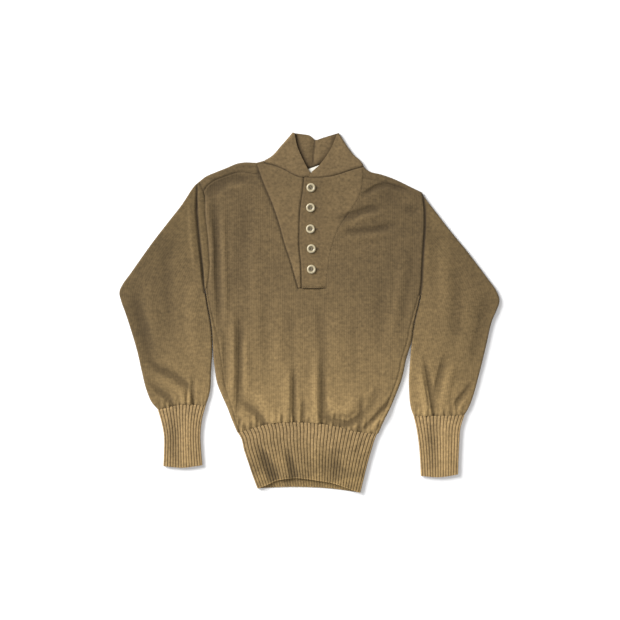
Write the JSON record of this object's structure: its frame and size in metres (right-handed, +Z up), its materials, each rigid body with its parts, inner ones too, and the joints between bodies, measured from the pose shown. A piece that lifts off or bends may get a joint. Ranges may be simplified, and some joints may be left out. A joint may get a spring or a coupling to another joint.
{
  "type": "pullover sweater",
  "caption": "Fine-knit pullover with a buttoned inset at the neck, an open stand collar, and ribbed cuffs and waistband, laid flat with its front up.",
  "frame": {"origin": "centre of the bounding box at the surface that the pullover lies on", "axes": "+Z up, out of the front; +Y towards the collar; +X to the right as seen from above, the wearer's left"},
  "size_m": [0.7616, 0.72, 0.0143],
  "materials": {
    "body_knit": "fine khaki-brown knit with upright wales",
    "sleeve_knit": "fine khaki-brown knit",
    "inset_knit": "tight smooth khaki-brown knit",
    "collar_knit": "tight smooth khaki-brown double knit",
    "waistband_rib": "ribbed khaki-brown knit",
    "cuff_rib": "ribbed light khaki-brown knit",
    "button": "pale horn-coloured, with a raised rim",
    "label": "bare white woven tape"
  },
  "bodies": {
    "root": {"body_front": "body_knit", "body_back": "body_knit", "sleeve_left": "sleeve_knit", "sleeve_right": "sleeve_knit", "inset_under": "inset_knit", "inset_over": "inset_knit", "collar": "collar_knit", "waistband": "waistband_rib", "cuff_left": "cuff_rib", "cuff_right": "cuff_rib", "button_1": "button", "button_2": "button", "button_3": "button", "button_4": "button", "button_5": "button", "neck_label": "label"}
  },
  "joints": []
}
